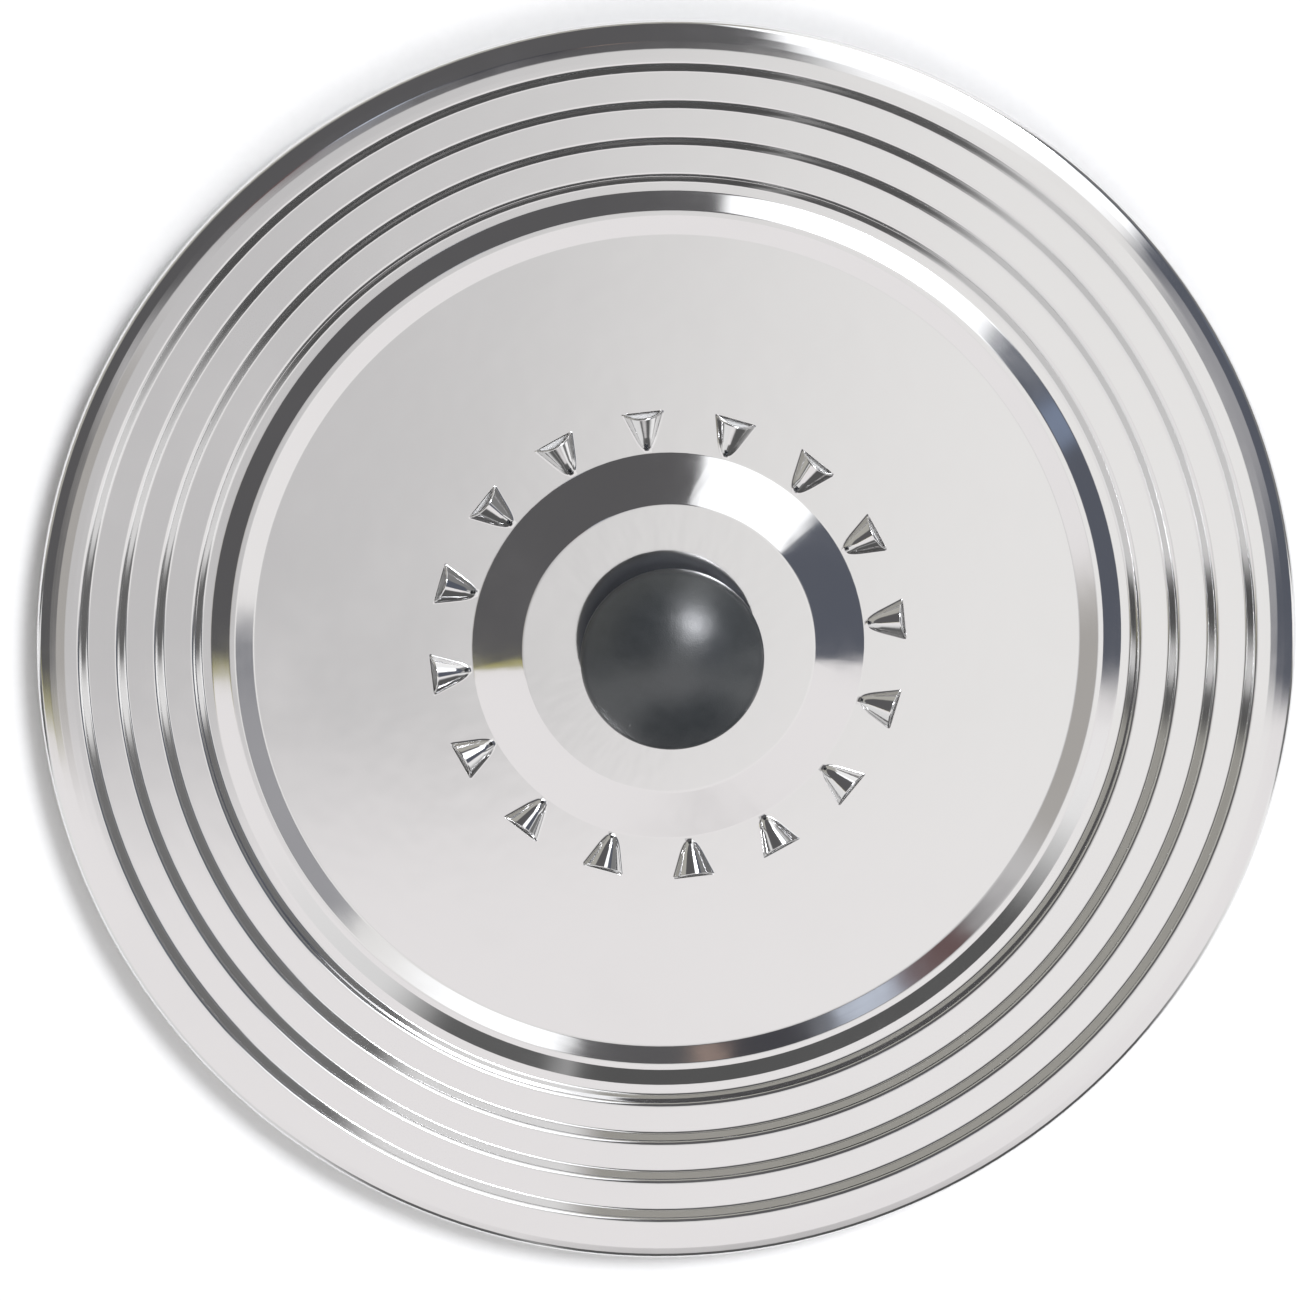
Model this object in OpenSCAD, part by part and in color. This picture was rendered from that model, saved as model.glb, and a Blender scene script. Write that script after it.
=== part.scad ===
// Universal pan lid: one pressed steel disc whose concentric steps sit in pans
// of several diameters, with a ring of steam louvres and a phenolic knob that is
// held by one screw from below.
// The lid lies knob up on its lowest ring. Z is the lid's axis, and z = 0 is
// the surface that the lid stands on. All sizes are in millimetres.

/* [Sheet] */
// Thickness of the pressed sheet
sheet_t = 0.6; // [0.4:0.05:0.8]
// Radius of the sheet's middle where a step turns
step_bend_r = 1.15; // [0.8:0.05:1.4]

/* [Pan steps] */
// Inside diameter of the smallest pan that sits on a step
smallest_pan_d = 260; // [200:5:320]
// Difference in diameter from one pan size to the next
pan_pitch_d = 20; // [18:1:30]
// Number of steps
step_count = 4; // [2:1:5]
// Rise from one step to the next
step_h = 3.5; // [2.8:0.1:4.2]
// Slope of a step's riser, in degrees
riser_slope = 65; // [55:1:75]
// Radial play between a riser and the pan around it
seat_play = 0.5; // [0.2:0.1:1]

/* [Ridge] */
// Radial width of each flank of the ridge around the centre panel
ridge_flank_w = 5; // [4:0.1:6]
// Radial width of the ridge's flat crest
ridge_crest_w = 1.4; // [0.8:0.1:2.4]
// Height of the ridge above the centre panel
ridge_h = 1.1; // [0.8:0.1:1.6]
// How far inside the next smaller pan size the middle of the ridge lies
ridge_inset = 1.6; // [1:0.1:3]
// How far the standing ring lies below the centre panel
standing_drop = 0.4; // [0.2:0.1:0.6]

/* [Boss] */
// Radius of the flat top that carries the knob
boss_top_r = 39.8; // [32:0.1:48]
// Radial width of the boss's conical flank
boss_flank_w = 13.7; // [10:0.1:16]
// Height of the screw's head above the surface that the lid stands on
head_clearance = 0.3; // [0.1:0.05:1.5]

/* [Rim] */
// Width of the flat between the last step and the lip
flange_w = 1.2; // [0.8:0.1:4]
// Radius of the lip's gentle downward curve, at the sheet's middle
lip_r = 36; // [24:1:44]
// How far the lip turns down, in degrees
lip_turn = 13; // [10:0.5:18]
// Radius of the rolled edge, at the sheet's middle
curl_r = 1.4; // [1.2:0.05:1.6]
// How far the edge is rolled under, in degrees
curl_turn = 280; // [240:1:285]

/* [Steam louvres] */
// Number of louvres
louvre_count = 16; // [8:1:20]
// Gap from the foot of the boss to the louvres' narrow ends
louvre_gap = 1.3; // [0.5:0.1:3]
// Length of a louvre
louvre_len = 9.9; // [9:0.1:12]
// Width of a louvre at its open mouth
louvre_mouth_w = 10.8; // [8:0.1:12]
// Height above the centre panel that a louvre's crown would reach over its mouth's feet
louvre_mouth_h = 3.8; // [3.2:0.1:5]
// Width of a louvre at its narrow end
louvre_nose_w = 2.8; // [2.6:0.1:4]
// Height of a louvre at its narrow end
louvre_nose_h = 0.9; // [0.8:0.1:1.3]
// Lean of the mouth's edge back towards the boss, in degrees
louvre_rake = 20; // [10:1:40]

/* [Knob] */
// Diameter of the knob's cap
knob_d = 49.5; // [40:0.5:60]
// Height of the knob
knob_h = 26; // [22:0.5:32]
// Radius of the cap's domed top
dome_r = 36; // [32:1:60]
// Radius of the cap's upper edge
cap_edge_r = 4.5; // [2:0.1:6]
// Radius of the cap's lower edge
cap_under_r = 3; // [0.8:0.1:4]
// Diameter of the neck
neck_d = 21; // [18:0.5:26]
// Radius of the flare from the neck to the foot
foot_flare_r = 2.8; // [1.6:0.1:3.4]
// Radius of the hollow between neck and cap
cove_r = 8.6; // [5:0.1:10]

/* [Fixing] */
// Diameter of the screw's shank, which stands for an M5 thread
shank_d = 4.9; // [3.9:0.1:5.9]
// Length of the screw below its head
shank_len = 12; // [10:0.5:14]
// Room beyond the screw's tip in the threaded insert
tip_room = 1.2; // [0.5:0.1:2]
// Radial play between the screw and what it passes through
screw_play = 0.3; // [0.2:0.05:0.5]
// Radial play between the screw and the threaded insert
thread_play = 0.05; // [0.02:0.01:0.1]
// Diameter of the screw's mushroom head
head_d = 11; // [9:0.1:12]
// Height of the screw's head
head_h = 2.2; // [1.8:0.1:2.2]
// Width of the cross recess's wings
recess_w = 1.1; // [0.8:0.1:1.4]
// Length across the cross recess
recess_len = 5.2; // [4:0.1:6]
// Depth of the cross recess
recess_depth = 1.5; // [1:0.1:1.6]
// Outside diameter of the toothed washer
tooth_washer_d = 10; // [9:0.1:12]
// Thickness of the toothed washer
tooth_washer_t = 0.6; // [0.4:0.05:0.6]
// Number of teeth on the toothed washer
tooth_count = 10; // [8:1:14]
// Outside diameter of the flat washer
flat_washer_d = 15; // [12:0.5:20]
// Thickness of the flat washer
flat_washer_t = 0.5; // [0.4:0.05:0.5]
// Diameter of the threaded insert
insert_d = 9; // [8:0.1:11]
// Thickness of the threaded insert's closed end
insert_floor = 1; // [0.6:0.1:1.5]
// Depth of the anchoring groove around the insert
insert_groove = 0.5; // [0.3:0.05:0.8]

/* [Hidden] */
fine = 96;              // facets of a full turn in a preview
bend_step = 13;         // most degrees of a bend that one facet takes

// Heights of the sheet's middle
standing_z = sheet_t / 2;
panel_z = standing_z + standing_drop;
boss_z = head_clearance + head_h + tooth_washer_t + flat_washer_t + sheet_t / 2;
ridge_z = panel_z + ridge_h;
flange_z = standing_z + step_count * step_h;
panel_top = panel_z + sheet_t / 2;

// Radii of the sheet's features
hole_r = shank_d / 2 + screw_play;
boss_foot_r = boss_top_r + boss_flank_w;
ridge_mid_r = (smallest_pan_d - pan_pitch_d) / 2 - ridge_inset;
ridge_foot_r = ridge_mid_r + ridge_crest_w / 2 + ridge_flank_w;
riser_w = step_h / tan(riser_slope);
riser_top_r = smallest_pan_d / 2 - seat_play - step_bend_r * tan(riser_slope / 2);
flange_r = riser_top_r + (step_count - 1) * pan_pitch_d / 2 + step_bend_r * tan(riser_slope / 2);

// Heights of the knob and of the stack below the sheet
knob_z = boss_z + sheet_t / 2;
flat_washer_z = boss_z - sheet_t / 2 - flat_washer_t;
tooth_washer_z = flat_washer_z - tooth_washer_t;
head_z = tooth_washer_z - head_h;
bore_depth = shank_len - tooth_washer_t - flat_washer_t - sheet_t + tip_room;
insert_len = bore_depth + insert_floor;

// ---- Paths of bent sheet: lists of [point, normal], both as [radius, height] ----

function left_of(d) = [-d.y, d.x];
function heading(d) = atan2(d.y, d.x);
function facets(turn) = max(1, ceil(abs(turn) / bend_step));

// Points of a bend that starts at a point with a heading and turns by so many
// degrees, to the left where the turn is positive.
function bend(start, from, turn, radius) =
    let (side = sign(turn), n = facets(turn), middle = start + side * radius * [-sin(from), cos(from)])
    [
        for (i = [0:n])
            let (a = from + turn * i / n, up = [-sin(a), cos(a)])
            [middle - side * radius * up, up]
    ];

// A bend in place of the corner b of the line a, b, c.
function corner(a, b, c, radius) =
    let (
        into = (b - a) / norm(b - a),
        out = (c - b) / norm(c - b),
        turn = heading(out) - heading(into)
    )
    bend(b - into * radius * tan(abs(turn) / 2), heading(into), turn, radius);

function last(list) = list[len(list) - 1];
function points_above(path, gap) = [for (p = path) p[0] + p[1] * gap];
function points_below(path, gap) = [for (i = [len(path) - 1:-1:0]) path[i][0] - path[i][1] * gap];

// ---- The pressed disc ----

// Corners of the sheet's middle line, each as [radius, height, bend radius]
centre_corners = [
    [boss_top_r, boss_z, 1.5],
    [boss_foot_r, panel_z, 1.5],
    [ridge_mid_r - ridge_crest_w / 2 - ridge_flank_w, panel_z, 2],
    [ridge_mid_r - ridge_crest_w / 2, ridge_z, 1],
    [ridge_mid_r + ridge_crest_w / 2, ridge_z, 1],
    [ridge_foot_r, standing_z, 1.5],
];
step_corners = [
    for (i = [0:step_count - 1], top = [0, 1])
        [
            riser_top_r + i * pan_pitch_d / 2 - (1 - top) * riser_w,
            standing_z + (i + top) * step_h,
            step_bend_r,
        ]
];
sheet_corners = concat(
    [[hole_r, boss_z, 0]],
    centre_corners,
    step_corners,
    [[flange_r + flange_w, flange_z, 0]]
);

function flat_point(c) = [c.x, c.y];

lip = bend([flange_r + flange_w, flange_z], 0, -lip_turn, lip_r);
curl = bend(last(lip)[0], -lip_turn, -curl_turn, curl_r);
sheet_path = concat(
    [[flat_point(sheet_corners[0]), [0, 1]]],
    [
        for (i = [1:len(sheet_corners) - 2])
            each corner(
                flat_point(sheet_corners[i - 1]),
                flat_point(sheet_corners[i]),
                flat_point(sheet_corners[i + 1]),
                sheet_corners[i].z
            )
    ],
    lip,
    [for (i = [1:len(curl) - 1]) curl[i]]
);

module pressed_sheet() {
    rotate_extrude($fn = fine)
        polygon(concat(points_above(sheet_path, sheet_t / 2), points_below(sheet_path, sheet_t / 2)));
}

// Radius of the circle whose segment above the panel has this width and height
function arch_r(width, height) = (pow(width / 2, 2) + height * height) / (2 * height);

// The cone that a louvre is part of, less a wall, along +X from its narrow end.
// Its far end goes on by so much at the same taper.
module louvre_cone(wall, past) {
    nose_r = arch_r(louvre_nose_w, louvre_nose_h);
    mouth_r = arch_r(louvre_mouth_w, louvre_mouth_h);
    dip = (mouth_r - louvre_mouth_h) - (nose_r - louvre_nose_h);
    taper = (mouth_r - nose_r) / louvre_len;
    translate([0, 0, louvre_nose_h - nose_r])
        rotate([0, 90 + atan(dip / louvre_len), 0])
            translate([0, 0, wall])
                cylinder(
                    h = louvre_len + past - wall,
                    r1 = nose_r + taper * wall - wall,
                    r2 = mouth_r + taper * past - wall,
                    $fn = fine
                );
}

// One louvre's skin, as it rises from the panel, with its mouth's edge leaning back
module louvre_skin() {
    difference() {
        louvre_cone(0, 0);
        translate([-1, -louvre_mouth_w, -2 * louvre_mouth_w - sheet_t / 2])
            cube([louvre_len * 2, 2 * louvre_mouth_w, 2 * louvre_mouth_w]);
        translate([louvre_len, -louvre_mouth_w, -sheet_t])
            rotate([0, -louvre_rake, 0])
                cube([louvre_len, 2 * louvre_mouth_w, 2 * louvre_mouth_w]);
    }
}

module at_louvres() {
    for (i = [0:louvre_count - 1])
        rotate(i * 360 / louvre_count)
            translate([boss_foot_r + louvre_gap, 0, panel_top])
                children();
}

module lid_disc() {
    color("silver")
        difference() {
            union() {
                pressed_sheet();
                at_louvres() louvre_skin();
            }
            at_louvres() louvre_cone(sheet_t, 0);
        }
}

// ---- The knob ----

// Outline of the knob from the middle of its top, down around the cap, the cove
// under it, the neck and the foot, as [radius, height] above its seat.
cap_r = knob_d / 2;
dome_turn = asin((cap_r - cap_edge_r) / (dome_r - cap_edge_r));
dome_line = bend([0, knob_h], 0, -dome_turn, dome_r);
edge_line = bend(last(dome_line)[0], -dome_turn, dome_turn - 90, cap_edge_r);
under_line = bend(last(edge_line)[0], -90, -90, cap_under_r);
cap_floor_z = last(under_line)[0].y;
foot_edge_h = 1.2;
foot_chamfer = 0.3;
foot_r = neck_d / 2 + foot_flare_r;
flare_top_z = foot_edge_h + foot_flare_r;
// The cove keeps clear of the cap's lower edge and of the foot's flare
cove_fit_r = min(cove_r, cap_r - cap_under_r - neck_d / 2 - 0.4, cap_floor_z - flare_top_z - 0.2);
cove_line = bend([neck_d / 2 + cove_fit_r, cap_floor_z], 180, 90, cove_fit_r);
foot_line = bend([neck_d / 2, flare_top_z], -90, 90, foot_flare_r);

function places(path) = [for (p = path) p[0]];

module knob_body() {
    rotate_extrude($fn = fine)
        polygon(concat(
            places(dome_line),
            places(edge_line),
            places(under_line),
            places(cove_line),
            places(foot_line),
            [[foot_r, foot_chamfer], [foot_r - foot_chamfer, 0], [0, 0]]
        ));
}

// The insert's outside: a cylinder with an anchoring groove around its middle
module insert_envelope() {
    groove_len = insert_len / 5;
    difference() {
        cylinder(h = insert_len, d = insert_d, $fn = fine);
        translate([0, 0, (insert_len - groove_len) / 2])
            difference() {
                cylinder(h = groove_len, d = insert_d + 2, $fn = fine);
                translate([0, 0, -1])
                    cylinder(h = groove_len + 2, d = insert_d - 2 * insert_groove, $fn = fine);
            }
    }
}

module knob() {
    color([0.09, 0.1, 0.11])
        translate([0, 0, knob_z])
            difference() {
                knob_body();
                insert_envelope();
            }
}

module threaded_insert() {
    color("goldenrod")
        translate([0, 0, knob_z])
            difference() {
                insert_envelope();
                translate([0, 0, -1])
                    cylinder(h = bore_depth + 1, d = shank_d + 2 * thread_play, $fn = fine);
            }
}

// ---- The screw and its washers ----

// A mushroom head, flat side up: part of a ball as wide as the head at its brim
module mushroom_head() {
    brim = 0.4;
    ball_r = arch_r(head_d, head_h - brim);
    intersection() {
        translate([0, 0, ball_r])
            sphere(r = ball_r, $fn = fine);
        cylinder(h = head_h - brim, d = head_d, $fn = fine);
    }
    translate([0, 0, head_h - brim])
        cylinder(h = brim, d = head_d, $fn = fine);
}

module knob_screw() {
    tip = 0.6;
    color("gainsboro")
        translate([0, 0, head_z])
            difference() {
                union() {
                    mushroom_head();
                    translate([0, 0, head_h])
                        cylinder(h = shank_len - tip, d = shank_d, $fn = fine);
                    translate([0, 0, head_h + shank_len - tip])
                        cylinder(h = tip, d1 = shank_d, d2 = shank_d - 2 * tip, $fn = fine);
                }
                for (turn = [0, 90])
                    rotate(turn)
                        translate([-recess_len / 2, -recess_w / 2, -1])
                            cube([recess_len, recess_w, recess_depth + 1]);
            }
}

module toothed_washer() {
    notch_w = 1;
    notch_len = 1.3;
    color("gainsboro")
        translate([0, 0, tooth_washer_z])
            difference() {
                cylinder(h = tooth_washer_t, d = tooth_washer_d, $fn = fine);
                translate([0, 0, -1])
                    cylinder(h = tooth_washer_t + 2, r = hole_r, $fn = fine);
                for (i = [0:tooth_count - 1])
                    rotate(i * 360 / tooth_count)
                        translate([tooth_washer_d / 2 - notch_len, -notch_w / 2, -1])
                            cube([notch_len + 1, notch_w, tooth_washer_t + 2]);
            }
}

module flat_washer() {
    color("gainsboro")
        translate([0, 0, flat_washer_z])
            difference() {
                cylinder(h = flat_washer_t, d = flat_washer_d, $fn = fine);
                translate([0, 0, -1])
                    cylinder(h = flat_washer_t + 2, r = hole_r, $fn = fine);
            }
}

lid_disc();
knob();
threaded_insert();
knob_screw();
toothed_washer();
flat_washer();
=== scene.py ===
import math

import bmesh
import bpy
from mathutils import Matrix, Vector


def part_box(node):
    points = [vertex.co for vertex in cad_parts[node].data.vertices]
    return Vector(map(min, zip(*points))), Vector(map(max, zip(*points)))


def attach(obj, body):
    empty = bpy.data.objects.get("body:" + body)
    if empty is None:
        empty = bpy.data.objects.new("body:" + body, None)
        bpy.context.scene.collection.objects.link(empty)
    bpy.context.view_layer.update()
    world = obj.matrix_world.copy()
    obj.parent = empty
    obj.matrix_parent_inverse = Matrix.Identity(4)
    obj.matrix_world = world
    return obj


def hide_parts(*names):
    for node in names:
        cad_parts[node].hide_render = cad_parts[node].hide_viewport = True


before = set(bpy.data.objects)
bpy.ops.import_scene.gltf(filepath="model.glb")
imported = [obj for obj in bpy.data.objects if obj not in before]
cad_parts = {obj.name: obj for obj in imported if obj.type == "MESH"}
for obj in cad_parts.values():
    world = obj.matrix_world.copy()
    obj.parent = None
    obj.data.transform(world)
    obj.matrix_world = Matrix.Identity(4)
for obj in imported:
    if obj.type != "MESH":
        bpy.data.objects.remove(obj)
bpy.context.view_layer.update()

MM = 0.001
TAU = 2 * math.pi

# ---- Sizes of the pressed disc, in millimetres, as in the CAD ----

SHEET_T = 0.6
STEP_BEND_R = 1.15
SMALLEST_PAN_D = 260
PAN_PITCH_D = 20
STEP_COUNT = 4
STEP_H = 3.5
RISER_SLOPE = 65
SEAT_PLAY = 0.5
RIDGE_FLANK_W = 5
RIDGE_CREST_W = 1.4
RIDGE_H = 1.1
RIDGE_INSET = 1.6
STANDING_DROP = 0.4
BOSS_TOP_R = 39.8
BOSS_FLANK_W = 13.7
FLANGE_W = 1.2
LIP_R = 36
LIP_TURN = 13
CURL_R = 1.4
CURL_TURN = 280

LOUVRE_COUNT = 16
LOUVRE_GAP = 1.3
LOUVRE_LEN = 9.9
LOUVRE_MOUTH_W = 10.8
LOUVRE_MOUTH_H = 3.8
LOUVRE_NOSE_W = 2.8
LOUVRE_NOSE_H = 0.9
LOUVRE_RAKE = 20
LOUVRE_NOSE_LEN = 3

# ---- Sizes of the knob and of what holds it ----

DOME_R = 36
CAP_EDGE_R = 4.5
CAP_UNDER_R = 3
NECK_D = 21
FOOT_FLARE_R = 2.8
FOOT_EDGE_H = 1.2
COVE_R = 8.6
SHANK_R = 2.45
THREAD_PITCH = 0.8
THREAD_DEPTH = 0.45
THREAD_ROWS = 10         # rows of points in one pitch of the thread
PLAIN_SHANK = 0.4        # from the head to the thread's first row
PLAIN_TIP = 0.6          # from the thread's last row to the tip
TIP_EDGE = (0.15, 0.25)  # the tip's broken edge, inwards and down
SCREW_PLAY = 0.3
HEAD_BRIM = 0.4
RECESS_W = 1.1
RECESS_LEN = 5.2
RECESS_DEPTH = 1.5
RECESS_TAPER = (0.55, 0.7)       # length and width at the recess's floor, as shares of those at its mouth
TOOTH_COUNT = 10
TOOTH_LEN = 1.3
TOOTH_GAP = 1
TOOTH_SHEET = 0.32       # thinner than the room that the twisted teeth take
TOOTH_TIP = 0.72         # a tooth's width at its tip, as a share of its sector
EDGE_R = 0.12
KNOB_COLUMNS = 144
SCREW_COLUMNS = 72
WASHER_COLUMNS = 96
CAP_BELOW = (0.0158, 0.0180)     # heights, in metres, between which the knob's finish turns dull and its colour is painted lighter, standing in for light bounced up from the polished sheet

# ---- How fine the meshes are ----

COARSE_COLUMNS = 12      # columns of a disc sector away from the louvre
BEND_STEP = 9            # most degrees of a sheet bend that one row takes
HOLD = 0.22              # how close to a bend a flat's first row lies
MERGE = 1e-7             # in metres
PAST_FOOT_BEND = 0.24    # from the boss's foot to the first flat row
BEFORE_FOOT_BEND = 1     # from the fine columns' first row to the boss's foot
PAST_MOUTH = 2.4         # from the louvre's mouth to the last row of fine columns
PAST_SLIT = 0.3          # from the louvre's mouth to the first flat row beyond it
NOSE_RISE = (18, 40, 64, 90)                    # degrees of the nose's quarter turn, a row each
LOUVRE_PARTS = (0.38, 0.53, 0.68, 0.83, 0.95)   # shares of the louvre's length, a row each
LEAN_ROUNDS = 6          # rounds that find where a leaning row meets the louvre's cone


# ---- Trees of nodes ----

class Value:
    """A socket in a tree of nodes. Arithmetic on it adds Math nodes, and make() adds any other node."""

    def __init__(self, tree, socket=None):
        self.tree = tree
        self.socket = socket

    def make(self, kind, settings=None, inputs=None, output=0):
        node = self.tree.nodes.new(kind)
        for name, setting in (settings or {}).items():
            if name == "stops":
                fill_ramp(node.color_ramp, setting)
            else:
                setattr(node, name, setting)
        for name, value in (inputs or {}).items():
            if isinstance(value, Value):
                self.tree.links.new(value.socket, node.inputs[name])
            else:
                node.inputs[name].default_value = value
        return Value(self.tree, node.outputs[output] if node.outputs else None)

    def math(self, operation, *values):
        return self.make("ShaderNodeMath", {"operation": operation}, dict(enumerate(values)))

    def __add__(self, other):
        return self.math("ADD", self, other)

    def __sub__(self, other):
        return self.math("SUBTRACT", self, other)

    def __rsub__(self, other):
        return self.math("SUBTRACT", other, self)

    def __mul__(self, other):
        return self.math("MULTIPLY", self, other)

    def __truediv__(self, other):
        return self.math("DIVIDE", self, other)

    def __pow__(self, other):
        return self.math("POWER", self, other)

    __radd__ = __add__
    __rmul__ = __mul__


def fill_ramp(ramp, stops):
    """Sets a colour ramp's stops, each (place, grey level or colour). A ramp starts with two stops."""
    for place, _ in stops[2:]:
        ramp.elements.new(place)
    for element, (place, colour) in zip(ramp.elements, stops):
        element.position = place
        element.color = (*colour, 1) if isinstance(colour, tuple) else (colour, colour, colour, 1)


def mix_colour(start, factor, a, b):
    """Colour a where factor is 0, and b where it is 1."""
    settings = {"data_type": "RGBA"}
    colours = {0: factor}
    for index, colour in ((6, a), (7, b)):
        colours[index] = colour if isinstance(colour, Value) else (*colour, 1)
    return start.make("ShaderNodeMix", settings, colours, output=2)


def smooth_between(value, low, high):
    """0 below low, 1 above high, with a smooth step between them."""
    return value.make(
        "ShaderNodeMapRange",
        {"interpolation_type": "SMOOTHSTEP"},
        {"Value": value, "From Min": low, "From Max": high},
    )


# ---- Outlines: lists of (point, normal), each (radius, height) in millimetres ----

def bend(start, heading, turn, radius, step=BEND_STEP):
    """Points of a bend from a point with a heading; it turns left where the turn is positive."""
    side = math.copysign(1, turn)
    count = max(1, math.ceil(abs(turn) / step))
    a = math.radians(heading)
    middle = Vector(start) + side * radius * Vector((-math.sin(a), math.cos(a)))
    points = []
    for i in range(count + 1):
        a = math.radians(heading + turn * i / count)
        up = Vector((-math.sin(a), math.cos(a)))
        points.append((middle - side * radius * up, up))
    return points


def heading_of(d):
    return math.degrees(math.atan2(d.y, d.x))


def corner(a, b, c, radius):
    """A bend in place of the corner b of the line a, b, c."""
    into = (b - a).normalized()
    out = (c - b).normalized()
    turn = heading_of(out) - heading_of(into)
    setback = radius * math.tan(math.radians(abs(turn)) / 2)
    return bend(b - into * setback, heading_of(into), turn, radius)


def held(path, gap=HOLD):
    """The path with a point close to each end of every long straight stretch, so that flats stay flat."""
    points = [path[0]]
    for (p, up), (q, next_up) in zip(path, path[1:]):
        along = q - p
        if along.length > 3 * gap:
            normal = Vector((-along.y, along.x)).normalized()
            points.append((p + along.normalized() * gap, normal))
            points.append((q - along.normalized() * gap, normal))
            points.append((q, up))
        else:
            points.append((q, next_up))
    return points


def sheet_middle_line():
    """The pressed sheet's middle line, from the screw hole to the end of the rolled edge."""
    tan_half = math.tan(math.radians(RISER_SLOPE / 2))
    standing = SHEET_T / 2
    panel = standing + STANDING_DROP
    ridge = panel + RIDGE_H
    boss = PANEL["boss_z"]
    ridge_mid = (SMALLEST_PAN_D - PAN_PITCH_D) / 2 - RIDGE_INSET
    riser_w = STEP_H / math.tan(math.radians(RISER_SLOPE))
    riser_top = SMALLEST_PAN_D / 2 - SEAT_PLAY - STEP_BEND_R * tan_half
    corners = [
        (SHANK_R + SCREW_PLAY, boss, 0),
        (BOSS_TOP_R, boss, 1.5),
        (BOSS_TOP_R + BOSS_FLANK_W, panel, 1.5),
        (ridge_mid - RIDGE_CREST_W / 2 - RIDGE_FLANK_W, panel, 2),
        (ridge_mid - RIDGE_CREST_W / 2, ridge, 1),
        (ridge_mid + RIDGE_CREST_W / 2, ridge, 1),
        (ridge_mid + RIDGE_CREST_W / 2 + RIDGE_FLANK_W, standing, 1.5),
    ]
    for i in range(STEP_COUNT):
        top = riser_top + i * PAN_PITCH_D / 2
        corners.append((top - riser_w, standing + i * STEP_H, STEP_BEND_R))
        corners.append((top, standing + (i + 1) * STEP_H, STEP_BEND_R))
    flange = riser_top + (STEP_COUNT - 1) * PAN_PITCH_D / 2 + STEP_BEND_R * tan_half + FLANGE_W
    corners.append((flange, standing + STEP_COUNT * STEP_H, 0))

    turns = [Vector(c[:2]) for c in corners]
    path = [(turns[0], Vector((0, 1)))]
    for i in range(1, len(corners) - 1):
        path += corner(turns[i - 1], turns[i], turns[i + 1], corners[i][2])
    lip = bend(turns[-1], 0, -LIP_TURN, LIP_R, 4)
    curl = bend(lip[-1][0], -LIP_TURN, -CURL_TURN, CURL_R, 14)
    return path + lip + curl[1:]


# ---- Meshes ----

def mesh_object(name, mesh):
    """A new object in the scene, at the origin."""
    piece = bpy.data.objects.new(name, mesh)
    bpy.context.scene.collection.objects.link(piece)
    return piece


def finish_mesh(form, name):
    """A smooth-shaded object from a bmesh in millimetres."""
    bmesh.ops.scale(form, vec=(MM, MM, MM), verts=form.verts)
    mesh = bpy.data.meshes.new(name)
    form.to_mesh(mesh)
    form.free()
    mesh.shade_smooth()
    return mesh_object(name, mesh)


def at(radius, angle, height):
    """A place on a circle round the axis."""
    return (radius * math.cos(angle), radius * math.sin(angle), height)


def turned(outline, columns, radius_at=None):
    """A bmesh of revolution. The outline runs clockwise, so that faces point out; a radius of 0 is a pole."""
    form = bmesh.new()
    rings = []
    for r, z in outline:
        if r < 1e-9:
            rings.append([form.verts.new((0, 0, z))] * columns)
            continue
        ring = []
        for j in range(columns):
            a = TAU * j / columns
            ring.append(form.verts.new(at(radius_at(r, a, z) if radius_at else r, a, z)))
        rings.append(ring)
    for inner, outer in zip(rings, rings[1:]):
        for j in range(columns):
            k = (j + 1) % columns
            corners = []
            for vert in (inner[j], outer[j], outer[k], inner[k]):
                if vert not in corners:
                    corners.append(vert)
            form.faces.new(corners)
    return form


def settle(piece):
    """Applies a piece's modifiers by making their result its plain mesh."""
    bpy.context.view_layer.update()
    result = bpy.data.meshes.new_from_object(piece.evaluated_get(bpy.context.evaluated_depsgraph_get()))
    piece.modifiers.clear()
    piece.data = result


def round_the_axis():
    """Geometry nodes that repeat a piece's sector round Z and join the copies into one mesh."""
    tree = bpy.data.node_groups.new("round the axis", "GeometryNodeTree")
    face = tree.interface
    face.new_socket("Sector", in_out="INPUT", socket_type="NodeSocketGeometry")
    face.new_socket("Sectors", in_out="INPUT", socket_type="NodeSocketInt")
    face.new_socket("Join gap", in_out="INPUT", socket_type="NodeSocketFloat")
    face.new_socket("Finish", in_out="INPUT", socket_type="NodeSocketMaterial")
    face.new_socket("Piece", in_out="OUTPUT", socket_type="NodeSocketGeometry")
    given = tree.nodes.new("NodeGroupInput")
    start = Value(tree)
    sector, count, gap, finish = (Value(tree, given.outputs[i]) for i in range(4))
    index = start.make("GeometryNodeInputIndex")
    turn = start.make("ShaderNodeCombineXYZ", None, {"Z": index * TAU / count})
    points = start.make("GeometryNodePoints", None, {"Count": count})
    copies = start.make(
        "GeometryNodeInstanceOnPoints", None, {"Points": points, "Instance": sector, "Rotation": turn}
    )
    whole = start.make("GeometryNodeRealizeInstances", None, {"Geometry": copies})
    joined = start.make("GeometryNodeMergeByDistance", None, {"Geometry": whole, "Distance": gap})
    smooth = start.make("GeometryNodeSetShadeSmooth", None, {"Geometry": joined})
    start.make("NodeGroupOutput", None, {0: start.make(
        "GeometryNodeSetMaterial", None, {"Geometry": smooth, "Material": finish}
    )})
    return tree


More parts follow.
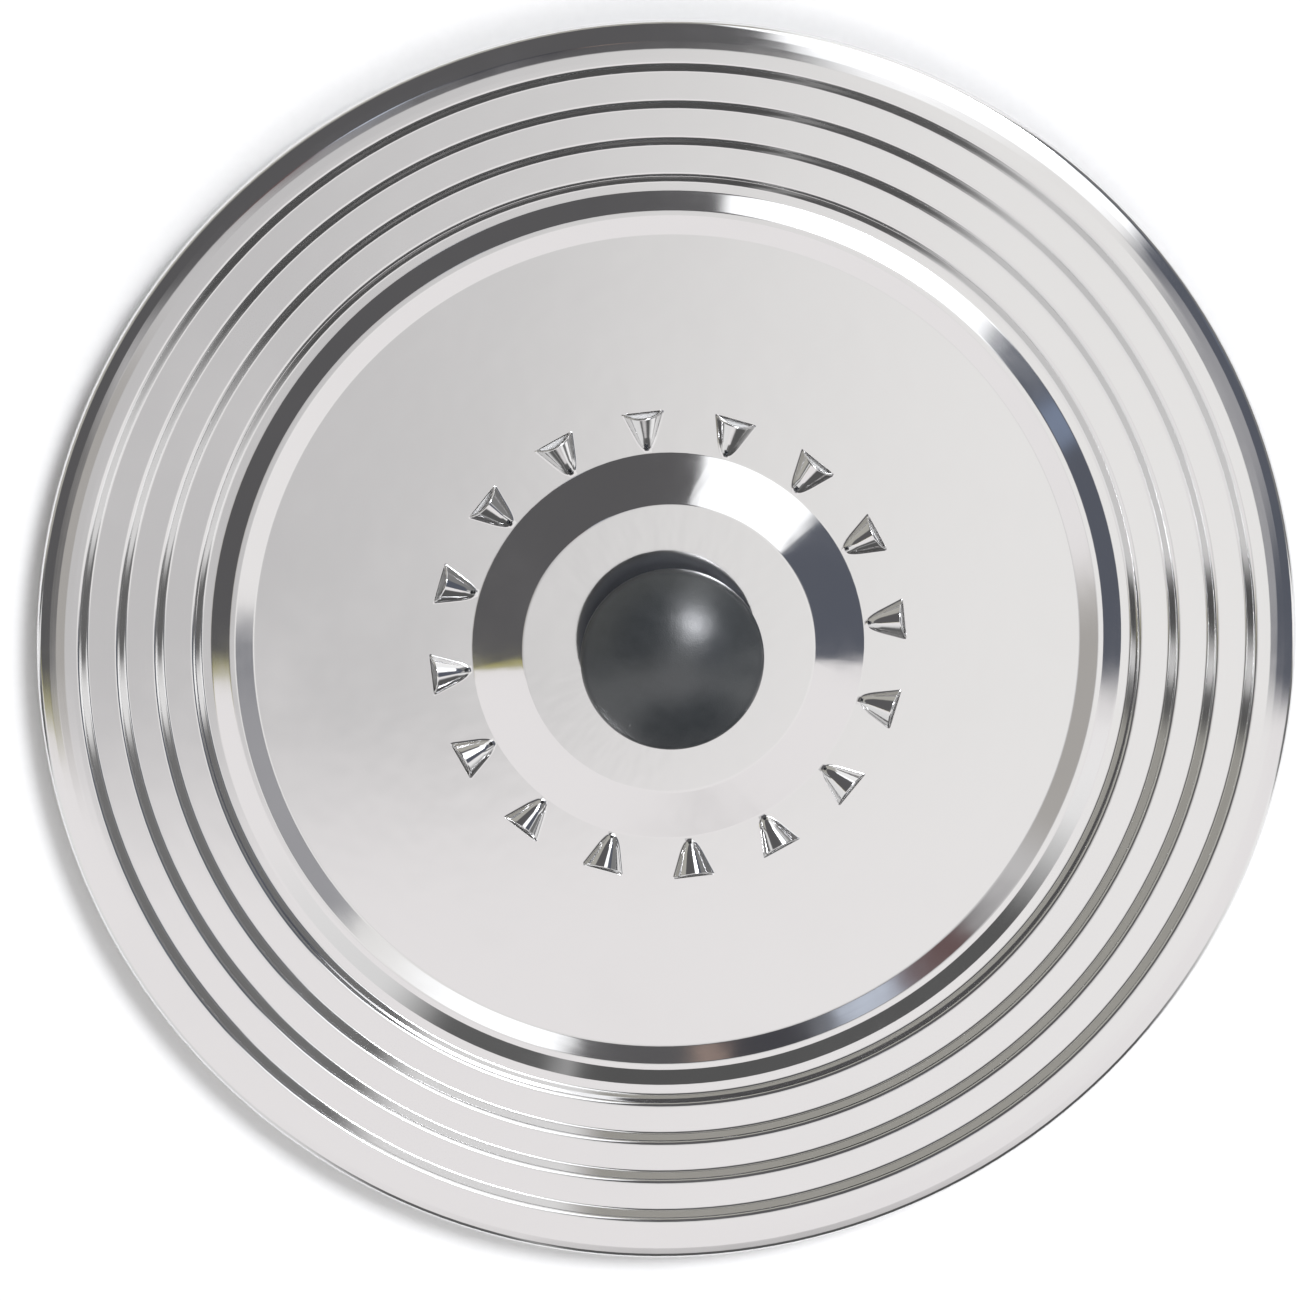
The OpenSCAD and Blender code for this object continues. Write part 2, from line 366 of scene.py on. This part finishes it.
def repeat_sector(piece, sectors, finish):
    """Puts the repeating nodes on a sector, with their inputs set by identifier."""
    modifier = piece.modifiers.new("round the axis", "NODES")
    modifier.node_group = REPEAT
    given = {"Sectors": sectors, "Join gap": MERGE, "Finish": finish}
    for item in REPEAT.interface.items_tree:
        if item.item_type == "SOCKET" and item.name in given:
            modifier[item.identifier] = given[item.name]


# ---- One sector of the pressed disc, with its louvre ----

def shares(stops):
    """Mirrored positions from -1 to 1 out of the positive ones."""
    return [-s for s in reversed(stops)] + [0] + list(stops)


ACROSS = shares((0.14, 0.3, 0.45, 0.6, 0.74, 0.87, 0.96, 1.0))   # over the louvre, by arch angle
BESIDE = (0.07, 0.3, 0.6, 1.0)                                # from its foot to the sector's edge
FINE_COLUMNS = len(ACROSS) - 1 + 2 * len(BESIDE)


def arch_radius(width, height):
    """Radius of the circle whose segment has this width and height."""
    return (width * width / 4 + height * height) / (2 * height)


def louvre_row(along, share_h, share_w, raised=True):
    """Points across a sector at a distance along the louvre. A row leans back as it rises."""
    half_sector = math.pi / LOUVRE_COUNT
    nose_r = PANEL["foot_r"] + LOUVRE_GAP
    lean = min(along / LOUVRE_LEN, 1) * math.tan(math.radians(LOUVRE_RAKE))

    def arch_point(t, back):
        """The place (across, up) on the arch that stands so far back from the row's feet."""
        part = min(along / LOUVRE_LEN, 1) - back / LOUVRE_LEN
        width = share_w * (LOUVRE_NOSE_W + (LOUVRE_MOUTH_W - LOUVRE_NOSE_W) * part)
        height = max(share_h, 1e-4) * (LOUVRE_NOSE_H + (LOUVRE_MOUTH_H - LOUVRE_NOSE_H) * part)
        radius = arch_radius(width, height)
        foot = math.atan2(width / 2, radius - height)
        return radius * math.sin(t * foot), radius * math.cos(t * foot) - (radius - height)

    over = []
    for t in ACROSS:
        y, z = arch_point(t, 0)
        if raised:
            for _ in range(LEAN_ROUNDS):
                y, z = arch_point(t, z * lean)
            over.append((nose_r + along - z * lean, y, PANEL["top_z"] + z))
        else:
            over.append((nose_r + along, y, PANEL["top_z"]))
    edge_r = math.hypot(over[0][0], over[0][1])
    edge_a = math.atan2(over[-1][1], over[-1][0])
    beside = []
    for s in BESIDE:
        r = edge_r + (nose_r + along - edge_r) * s
        beside.append(at(r, edge_a + (half_sector - edge_a) * s, PANEL["top_z"]))
    mirrored = [(x, -y, z) for x, y, z in reversed(beside)]
    return mirrored + over + beside


def even_row(radius, height, columns):
    """Points across a sector on a circle round the axis, evenly spaced."""
    half_sector = math.pi / LOUVRE_COUNT
    return [at(radius, half_sector * (2 * j / columns - 1), height) for j in range(columns + 1)]


def louvre_rows():
    """The rows of a sector through the louvre. A pair of rows stands at the slit: raised, then flat."""
    rows = [louvre_row(0, 0, 0.5)]
    for a in NOSE_RISE:
        lift = math.sin(math.radians(a))
        along = LOUVRE_NOSE_LEN * (1 - math.cos(math.radians(a)))
        rows.append(louvre_row(along, lift, 0.5 + 0.5 * lift))
    for part in LOUVRE_PARTS:
        rows.append(louvre_row(part * LOUVRE_LEN, 1, 1))
    raised = louvre_row(LOUVRE_LEN, 1, 1)
    flat = louvre_row(LOUVRE_LEN, 1, 1, raised=False)
    return rows + [(raised, flat)] + [louvre_row(LOUVRE_LEN + PAST_SLIT, 1, 1, raised=False)]


def disc_sector():
    """The disc's upper skin over one louvre's share of the turn."""
    upper = [p + up * SHEET_T / 2 for p, up in held(sheet_middle_line())]
    zone_start = PANEL["foot_r"] + PAST_FOOT_BEND
    zone_end = PANEL["foot_r"] + LOUVRE_GAP + LOUVRE_LEN + PAST_MOUTH
    inside = [p for p in upper if p.x < zone_start and p.y > PANEL["top_z"] - 1e-6]
    outside = [p for p in upper[len(inside):] if p.x > zone_end]

    form = bmesh.new()

    def new_row(points):
        return [form.verts.new(p) for p in points]

    def join(a, b):
        """Quads between two rows; where one has twice the columns, its middle points are taken in."""
        for j in range(min(len(a), len(b)) - 1):
            ring = []
            for row in (a, b):
                pace = (len(row) - 1) // (min(len(a), len(b)) - 1)
                ring.append(row[j * pace:(j + 1) * pace + 1])
            form.faces.new([ring[0][0]] + ring[1] + ring[0][:0:-1])

    nose_angles = [math.atan2(y, x) for x, y, _ in louvre_row(0, 0, 0.5)]
    last = None
    for p in inside + [Vector((zone_start, PANEL["top_z"]))]:
        if p.x < PANEL["foot_r"] - BEFORE_FOOT_BEND:
            verts = new_row(even_row(p.x, p.y, COARSE_COLUMNS))
        else:
            verts = new_row([at(p.x, a, p.y) for a in nose_angles])
        if last:
            join(last, verts)
        last = verts
    for row in louvre_rows():
        if isinstance(row, tuple):
            raised, flat = row
            first = len(BESIDE)
            final = first + len(ACROSS) - 1
            raised_verts = new_row(raised)
            join(last, raised_verts)
            last = list(raised_verts)
            for j in range(first + 1, final):
                last[j] = form.verts.new(flat[j])
        else:
            verts = new_row(row)
            join(last, verts)
            last = verts
    verts = new_row(even_row(zone_end, PANEL["top_z"], FINE_COLUMNS))
    join(last, verts)
    last = verts
    for p in outside:
        verts = new_row(even_row(p.x, p.y, COARSE_COLUMNS))
        join(last, verts)
        last = verts
    return form


def make_lid_disc(finish):
    """The whole disc: the upper skin's sector repeated round the axis, then made as thick as the sheet."""
    piece = finish_mesh(disc_sector(), "pressed_disc")
    repeat_sector(piece, LOUVRE_COUNT, finish)
    wall = piece.modifiers.new("sheet", "SOLIDIFY")
    wall.thickness = SHEET_T * MM
    wall.offset = -1
    wall.use_even_offset = True
    settle(piece)
    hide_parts("lid_disc")
    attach(piece, "root")


# ---- Knob, screw and washers ----

def places(path):
    """The path's points without their normals."""
    return [(p.x, p.y) for p, _ in path]


def knob_outline():
    """From the top of the dome round the cap, the cove, the neck and the foot to the insert's pocket."""
    low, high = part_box("knob")
    insert_low, insert_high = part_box("threaded_insert")
    base = low.z / MM
    height = high.z / MM - base
    cap_r = (high.x - low.x) / 2 / MM
    insert_r = (insert_high.x - insert_low.x) / 2 / MM
    insert_top = insert_high.z / MM - base
    dome_turn = math.degrees(math.asin((cap_r - CAP_EDGE_R) / (DOME_R - CAP_EDGE_R)))
    dome = bend((0, height), 0, -dome_turn, DOME_R, 1.2)
    edge = bend(dome[-1][0], -dome_turn, dome_turn - 90, CAP_EDGE_R, 6)
    under = bend(edge[-1][0], -90, -90, CAP_UNDER_R, 10)
    floor_z = under[-1][0].y
    cove_r = min(
        COVE_R,
        cap_r - CAP_UNDER_R - NECK_D / 2 - 0.4,
        floor_z - FOOT_EDGE_H - FOOT_FLARE_R - 0.2,
    )
    cove = bend((NECK_D / 2 + cove_r, floor_z), 180, 90, cove_r, 6)
    foot = bend((NECK_D / 2, FOOT_EDGE_H + FOOT_FLARE_R), -90, 90, FOOT_FLARE_R, 9)
    foot_r = NECK_D / 2 + FOOT_FLARE_R
    outline = places(dome) + places(edge)[1:] + places(under)[1:] + places(cove) + places(foot)
    outline += places(bend((foot_r, 0.3), -90, -90, 0.3, 30))
    outline += [(insert_r + 0.2, 0), (insert_r, 0.2), (insert_r, insert_top), (0, insert_top)]
    return [(r, z + base) for r, z in outline]


def make_knob(finish):
    """The domed grip knob, turned in one piece, with the insert's pocket in its foot."""
    piece = finish_mesh(turned(knob_outline(), KNOB_COLUMNS), "grip_knob")
    piece.data.set_sharp_from_angle(angle=math.radians(50))
    piece.data.materials.append(finish)
    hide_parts("knob")
    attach(piece, "root")


def make_screw(finish):
    """Mushroom head with a cross recess below, and a threaded shank."""
    low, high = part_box("knob_screw")
    head_r = (high.x - low.x) / 2 / MM
    base, tip = low.z / MM, high.z / MM
    head_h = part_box("toothed_washer")[0].z / MM - base
    dome_h = head_h - HEAD_BRIM
    ball_r = arch_radius(2 * head_r, dome_h)
    half = math.degrees(math.asin(head_r / ball_r))
    dome = bend((head_r, base + dome_h), -180 + half, -half, ball_r, 2)
    first = base + head_h + PLAIN_SHANK
    turns = (tip - PLAIN_TIP - first) / THREAD_PITCH
    rows = [first + THREAD_PITCH * i / THREAD_ROWS for i in range(int(turns * THREAD_ROWS))]
    core_r = SHANK_R - THREAD_DEPTH
    outline = [(0, tip), (core_r - TIP_EDGE[0], tip), (core_r, tip - TIP_EDGE[1])]
    outline += [(SHANK_R, z) for z in reversed(rows)]
    outline += [(SHANK_R - 0.1, base + head_h), (head_r - EDGE_R, base + head_h)]
    outline += [(head_r, base + head_h - EDGE_R), (head_r, base + dome_h + EDGE_R)]
    outline += places(dome)[1:-1] + [(0, base)]

    def thread(r, angle, z):
        if z not in crests:
            return r
        phase = (z / THREAD_PITCH - angle / TAU) % 1
        return r - THREAD_DEPTH * abs(2 * phase - 1)

    crests = set(rows)
    piece = finish_mesh(turned(outline, SCREW_COLUMNS, thread), "mushroom_screw")
    for turn in (0, 90):
        cutter = bmesh.new()
        bmesh.ops.create_cube(cutter, size=1)
        size = (RECESS_LEN, RECESS_W, 2 * RECESS_DEPTH)
        bmesh.ops.scale(cutter, vec=size, verts=cutter.verts)
        for vert in cutter.verts:
            if vert.co.z > 0:
                vert.co.x *= RECESS_TAPER[0]
                vert.co.y *= RECESS_TAPER[1]
        bmesh.ops.translate(cutter, vec=(0, 0, base), verts=cutter.verts)
        bmesh.ops.rotate(cutter, matrix=Matrix.Rotation(math.radians(turn), 3, "Z"), verts=cutter.verts)
        wing = finish_mesh(cutter, "recess_wing")
        cut = piece.modifiers.new("recess", "BOOLEAN")
        cut.operation = "DIFFERENCE"
        cut.object = wing
        settle(piece)
        bpy.data.objects.remove(wing)
    piece.data.set_sharp_from_angle(angle=math.radians(40))
    piece.data.materials.clear()
    piece.data.materials.append(finish)
    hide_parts("knob_screw")
    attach(piece, "root")


def make_flat_washer(finish):
    """A plain ring with its edges broken."""
    low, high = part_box("flat_washer")
    hole = SHANK_R + SCREW_PLAY
    rim = (high.x - low.x) / 2 / MM
    base, top = low.z / MM, high.z / MM
    ring = [(hole, top - EDGE_R), (hole + EDGE_R, top), (rim - EDGE_R, top), (rim, top - EDGE_R)]
    ring += [(rim, base + EDGE_R), (rim - EDGE_R, base), (hole + EDGE_R, base), (hole, base + EDGE_R)]
    form = turned(ring + ring[:1], WASHER_COLUMNS)
    bmesh.ops.remove_doubles(form, verts=form.verts, dist=1e-5)
    piece = finish_mesh(form, "plain_washer")
    piece.data.set_sharp_from_angle(angle=math.radians(40))
    piece.data.materials.append(finish)
    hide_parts("flat_washer")
    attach(piece, "root")


def make_toothed_washer(finish):
    """A thin ring whose outer teeth are twisted, built from one tooth's sector."""
    low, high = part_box("toothed_washer")
    base, top = low.z / MM, high.z / MM
    hole = SHANK_R + SCREW_PLAY
    rim = (high.x - low.x) / 2 / MM
    root = rim - TOOTH_LEN
    half = math.pi / TOOTH_COUNT
    gap = TOOTH_GAP / 2 / root
    twist = (top - base - TOOTH_SHEET) / 2
    middle_top = (base + top + TOOTH_SHEET) / 2
    form = bmesh.new()
    rows = []
    tooth_start = (root + 0.15, 1 - gap / half, 0.1)
    for r, spread, lift in ((hole, 1, 0), (root, 1, 0), tooth_start, (rim, TOOTH_TIP, 1)):
        row = []
        for j in range(7):
            s = j / 3 - 1
            row.append(form.verts.new(at(r, s * half * spread, middle_top + s * lift * twist)))
        rows.append(row)
    for a, b in zip(rows, rows[1:]):
        for j in range(6):
            form.faces.new((a[j], b[j], b[j + 1], a[j + 1]))
    piece = finish_mesh(form, "shakeproof_washer")
    repeat_sector(piece, TOOTH_COUNT, finish)
    wall = piece.modifiers.new("sheet", "SOLIDIFY")
    wall.thickness = TOOTH_SHEET * MM
    wall.offset = -1
    settle(piece)
    piece.data.set_sharp_from_angle(angle=math.radians(40))
    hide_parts("toothed_washer")
    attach(piece, "root")


# ---- Finishes ----

def finish_tree(name):
    """A new material and the value that its nodes start from."""
    material = bpy.data.materials.new(name)
    material.use_nodes = True
    tree = material.node_tree
    tree.nodes.clear()
    start = Value(tree)
    return material, start


def give_surface(start, inputs):
    """The one shader of a finish. Numbers are set on its own sockets."""
    surface = start.make("ShaderNodeBsdfPrincipled", None, inputs)
    start.make("ShaderNodeOutputMaterial", None, {"Surface": surface})


def object_place(start):
    """The place on the piece, in metres."""
    return start.make("ShaderNodeTexCoord", None, None, output=3)


def noise(start, vector, scale, detail=2.0, roughness=0.5):
    """A fractal noise of about 0 to 1 at a place."""
    return start.make(
        "ShaderNodeTexNoise",
        {"noise_dimensions": "3D"},
        {"Vector": vector, "Scale": scale, "Detail": detail, "Roughness": roughness},
    )


def ring_place(start, place, across, round_it):
    """A place for patterns that run round the axis: fine across the radius and long round the turn."""
    parts = start.make("ShaderNodeSeparateXYZ", None, {0: place})
    x, y, z = (Value(start.tree, parts.socket.node.outputs[i]) for i in range(3))
    radius = (x * x + y * y + 1e-9) ** 0.5
    return start.make(
        "ShaderNodeCombineXYZ",
        None,
        {"X": x / radius * round_it, "Y": y / radius * round_it, "Z": (radius + z) * across},
    )


def bump(start, height):
    """The normal of a relief whose height is given in metres."""
    return start.make("ShaderNodeBump", None, {"Height": height, "Distance": 1.0, "Strength": 1.0})


def polished_steel():
    """Spun and polished stainless sheet: hairline rings, faint smears and slight pressing waves."""
    material, start = finish_tree("polished_steel")
    place = object_place(start)
    rings = noise(start, ring_place(start, place, 2600, 5), 1, 3)
    waves = noise(start, ring_place(start, place, 130, 9), 1, 1)
    smears = noise(start, place, 22, 4, 0.6)
    roughness = 0.045 + rings * 0.03 + smooth_between(smears, 0.42, 0.75) * 0.07
    relief = waves * 0.000018 + rings * 0.0000008
    tint = mix_colour(start, smears, (0.745, 0.74, 0.74), (0.79, 0.785, 0.785))
    give_surface(start, {
        "Base Color": tint,
        "Metallic": 1.0,
        "Roughness": roughness,
        "Normal": bump(start, relief),
    })
    return material


def moulded_phenolic():
    """Dark moulded phenolic with a fine mottled skin. Below the cap's rim it is duller, and it is painted
    lighter and greyer there as bounce light from the polished sheet beneath.
    """
    material, start = finish_tree("moulded_phenolic")
    place = object_place(start)
    grain = noise(start, place, 2600, 3, 0.6)
    cloud = noise(start, place, 260, 3)
    speck = smooth_between(noise(start, place, 5200, 1), 0.66, 0.8)
    colour = mix_colour(start, cloud, (0.018, 0.021, 0.024), (0.032, 0.036, 0.040))
    colour = mix_colour(start, speck * 0.5, colour, (0.09, 0.095, 0.1))
    height = start.make("ShaderNodeSeparateXYZ", None, {0: place}, output=2)
    # Below the cap's rim the skin turns duller, and its colour is lifted to a lighter blue-grey: painted
    # bounce light from the polished sheet, not the phenolic's own colour.
    dull_and_painted_bounce = 1 - smooth_between(height, *CAP_BELOW)
    colour = mix_colour(start, dull_and_painted_bounce, colour, (0.085, 0.095, 0.115))
    give_surface(start, {
        "Base Color": colour,
        "Roughness": 0.26 + cloud * 0.1 + speck * 0.1 + dull_and_painted_bounce * 0.2,
        "Specular IOR Level": 0.95,
        "Normal": bump(start, grain * 0.00004 + cloud * 0.00006),
    })
    return material


def turned_brass():
    """Machined brass with tool rings."""
    material, start = finish_tree("turned_brass")
    place = object_place(start)
    rings = noise(start, ring_place(start, place, 5200, 3), 1, 2)
    tint = mix_colour(start, rings, (0.66, 0.49, 0.22), (0.78, 0.62, 0.33))
    give_surface(start, {
        "Base Color": tint,
        "Metallic": 1.0,
        "Roughness": 0.2 + rings * 0.18,
        "Normal": bump(start, rings * 0.00001),
    })
    return material


def plated_steel(name, shade, rough):
    """Zinc-plated steel, slightly mottled, for the screw and its washers."""
    material, start = finish_tree(name)
    place = object_place(start)
    spangle = noise(start, place, 900, 3, 0.6)
    scratches = noise(start, ring_place(start, place, 6000, 4), 1, 2)
    tint = mix_colour(start, spangle, tuple(shade * c for c in (0.92, 0.95, 1.0)), (shade + 0.12,) * 3)
    give_surface(start, {
        "Base Color": tint,
        "Metallic": 1.0,
        "Roughness": rough + scratches * 0.14,
        "Normal": bump(start, spangle * 0.00001 + scratches * 0.000005),
    })
    return material


# ---- Studio ----

# Lean of the view from the lid's axis, in degrees to the view's right and up
VIEW_LEAN = (-3.2, 11.2)
VIEW_DISTANCE = 1.25
VIEW_LENS = 127.0
VIEW_TURN = 6.2                  # degrees that the view's upright leans from +Y towards +X
VIEW_AIM = (-5.0, -1.0)          # millimetres from the axis, right and up

RIGHT = Vector((math.cos(math.radians(VIEW_TURN)), -math.sin(math.radians(VIEW_TURN)), 0))
UP = Vector((math.sin(math.radians(VIEW_TURN)), math.cos(math.radians(VIEW_TURN)), 0))


def towards(right, up):
    """The direction that leans from +Z by so many degrees to the view's right and up."""
    lean = math.tan(math.radians(right)) * RIGHT + math.tan(math.radians(up)) * UP
    return (lean + Vector((0, 0, 1))).normalized()


def add_camera():
    """The view from a little left of the axis and above it."""
    data = bpy.data.cameras.new("camera")
    data.lens = VIEW_LENS
    data.sensor_width = 36
    camera = bpy.data.objects.new("camera", data)
    bpy.context.scene.collection.objects.link(camera)
    backward = towards(*VIEW_LEAN)
    aim = (VIEW_AIM[0] * RIGHT + VIEW_AIM[1] * UP) * MM
    camera.location = aim + backward * VIEW_DISTANCE
    side = UP.cross(backward).normalized()
    upright = backward.cross(side)
    camera.rotation_euler = Matrix((side, upright, backward)).transposed().to_euler()
    bpy.context.scene.camera = camera


def add_floor():
    """White paper just below the ring that the lid stands on."""
    form = bmesh.new()
    bmesh.ops.create_grid(form, x_segments=1, y_segments=1, size=4000)
    floor = finish_mesh(form, "floor")
    material, start = finish_tree("white_paper")
    grain = noise(start, object_place(start), 400, 2)
    give_surface(start, {
        "Base Color": mix_colour(start, grain, (0.85, 0.85, 0.85), (0.89, 0.89, 0.89)),
        "Roughness": 0.9,
        "Specular IOR Level": 0.1,
    })
    floor.data.materials.append(material)
    floor.location.z = -0.0002


def add_light(name, lean, distance, size, power):
    """A round lamp that shines at the lid from a lean. The sheet doesn't mirror it."""
    data = bpy.data.lights.new(name, "AREA")
    data.shape = "DISK"
    data.size = size
    data.energy = power
    light = bpy.data.objects.new(name, data)
    bpy.context.scene.collection.objects.link(light)
    direction = towards(*lean)
    light.location = direction * distance
    light.rotation_euler = direction.to_track_quat("Z", "Y").to_euler()
    light.visible_glossy = False


# The mirrored room's colours, in light units of 1 for white. Places in it are leans, as above
CEILING_FAR = (0.99, 0.965, 0.97)
CEILING_NEAR = ((0.67, 0.66, 0.665), (0.98, 0.97, 0.96))     # on its left and on its right
CEILING_SHADE = (-0.06, 0.17)    # how far to the right, as a cosine, the near ceiling's colour changes
SHELF_COLOUR = (0.120, 0.118, 0.122)
WALL_COLOUR = (0.115, 0.125, 0.155)
WINDOW_COLOUR = (1.5, 1.52, 1.55)
SUN_COLOUR = (23.0, 23.4, 24.5)
SUN_PLACE = ((23, 27), 6, 3)     # lean, size and softness
STRIP_COLOUR = (0.46, 0.43, 0.16)

# Spots in the room: lean, size, softness, strength and colour. On the wall their strength is the wall's
CEILING_SPOTS = (
    ((15, -12), 3, 12, 0.6, (1.04, 1.03, 1.02)),
    ((-15, -8), 4, 4, 0.75, (0.42, 0.40, 0.37)),
)
SHELF_SPOTS = (
    ((-9, 4), 1.6, 1.0, 1, (0.16, 0.10, 0.10)),
    ((-6, 6.1), 1.2, 1.0, 1, (0.66, 0.72, 0.84)),
    ((-1.6, 7.8), 1.8, 1.4, 1, (0.07, 0.07, 0.08)),
    ((1.4, 8.3), 0.5, 0.6, 0.8, (0.46, 0.34, 0.29)),
)
WALL_SPOTS = (
    ((20, -4), 5.5, 3, (0.40, 0.40, 0.42)),
    ((36.8, 8.2), 1, 2, (0.24, 0.29, 0.40)),
)

# The room lower down, outside UPPER_ROOM's lean, size and softness: degrees clockwise from the
# view's upright, and colour
UPPER_ROOM = ((0, 8), 47, 6)
BROWNISH = (0.50, 0.49, 0.45)
SKYLINE = (
    (0, BROWNISH), (13, BROWNISH), (17, 1.1), (40, 1.1), (46, 0.25), (94, 0.25), (97, 1.2), (102, 1.2),
    (104, 0.2), (112, 0.2), (115, 1.1), (125, 1.0), (137, 0.12), (184, 0.11), (186, 0.5), (188, 0.13),
    (199, 0.14), (206, 0.85), (247, 0.95), (250, 0.12), (256, 0.12), (258, 1.0), (261, 1.0), (263, 0.15),
    (266, 0.15), (269, BROWNISH), (360, BROWNISH),
)


def add_room():
    """What the polished sheet mirrors: a pale ceiling, a bright window and the dark parts of a room."""
    world = bpy.data.worlds.new("room")
    bpy.context.scene.world = world
    world.use_nodes = True
    world.node_tree.nodes.clear()
    start = Value(world.node_tree)
    direction = start.make("ShaderNodeTexCoord")

    def part_of(side):
        """How much the direction points to a side, as its cosine."""
        return start.make(
            "ShaderNodeVectorMath", {"operation": "DOT_PRODUCT"}, {0: direction, 1: tuple(side)}, output=1
        )

    def left_of(a, b, soft):
        """1 on the left of the line from lean a to lean b, with an edge so many degrees soft."""
        half = math.radians(soft) / 2
        return smooth_between(part_of(towards(*a).cross(towards(*b)).normalized()), -half, half)

    def near(lean, size, soft):
        """1 within so many degrees of a lean, with an edge so many degrees soft outside that."""
        outer = math.cos(math.radians(size + soft))
        return smooth_between(part_of(towards(*lean)), outer, math.cos(math.radians(size)))

    def with_spots(colour, spots):
        """The colour with spots laid over it: lean, size, softness, strength and colour."""
        for lean, size, soft, strength, spot in spots:
            colour = mix_colour(start, near(lean, size, soft) * strength, colour, spot)
        return colour

    east = part_of(RIGHT)
    ceiling_far = left_of((-40, -13), (40, -13), 3)
    upper = left_of((-20, 1.0), (20, 5.5), 5)
    west = left_of((8.0, 7), (9.4, 29), 1.2)
    window_side = left_of((18.1, 1.5), (31.6, 15.4), 2) * left_of((31.6, 15.4), (37.5, 42.4), 3)
    wall_left = left_of((-20.5, -15.5), (-18, 0), 3) * left_of((-59.5, -18.0), (0, -14.6), 0.8)
    wall_right = left_of((17, 1.5), (20, -15), 4) * left_of((22.5, -13.4), (58.7, -26.6), 2)
    dark_left = start.math("MAXIMUM", upper, wall_left) * west
    dark_right = wall_right * (1 - window_side)
    window = upper * (1 - west) * window_side
    strip = wall_left * (1 - left_of((-59.5, -16.6), (0, -13.2), 0.8))

    shaded = mix_colour(start, smooth_between(east, *CEILING_SHADE), *CEILING_NEAR)
    colour = mix_colour(start, ceiling_far, CEILING_FAR, shaded)
    colour = with_spots(colour, CEILING_SPOTS)
    colour = mix_colour(start, dark_left, colour, SHELF_COLOUR)
    colour = with_spots(colour, SHELF_SPOTS)
    colour = mix_colour(start, dark_right, colour, WALL_COLOUR)
    colour = with_spots(colour, [spot[:3] + (dark_right,) + spot[3:] for spot in WALL_SPOTS])
    colour = mix_colour(start, window, colour, WINDOW_COLOUR)
    colour = with_spots(colour, [(*SUN_PLACE, window, SUN_COLOUR)])
    colour = mix_colour(start, strip, colour, STRIP_COLOUR)

    turn = start.math("FRACT", start.math("ARCTAN2", east, part_of(UP)) / TAU)
    skyline = start.make("ShaderNodeValToRGB", {"stops": [(a / 360, c) for a, c in SKYLINE]}, {0: turn})
    low_down = 1 - near(*UPPER_ROOM)
    colour = mix_colour(start, low_down, colour, skyline)
    background = start.make("ShaderNodeBackground", None, {"Color": colour})
    start.make("ShaderNodeOutputWorld", None, {"Surface": background})


bpy.context.scene.view_settings.view_transform = "Standard"

# Places on the disc that the louvres start from, in millimetres
PANEL = {
    "boss_z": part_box("knob")[0].z / MM - SHEET_T / 2,
    "top_z": SHEET_T + STANDING_DROP,
    "foot_r": BOSS_TOP_R + BOSS_FLANK_W,
}
REPEAT = round_the_axis()

add_camera()
add_floor()
add_room()
add_light("window", (22, 22), 2.2, 0.7, 14)
add_light("ceiling", (8, -30), 2.4, 1.6, 12)

steel = polished_steel()
make_lid_disc(steel)
make_knob(moulded_phenolic())
screw_finish = plated_steel("plated_screw", 0.60, 0.22)
washer_finish = plated_steel("plated_washer", 0.54, 0.28)
make_screw(screw_finish)
make_flat_washer(washer_finish)
make_toothed_washer(washer_finish)
brass_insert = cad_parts["threaded_insert"]
brass_insert.data.materials.clear()
brass_insert.data.materials.append(turned_brass())
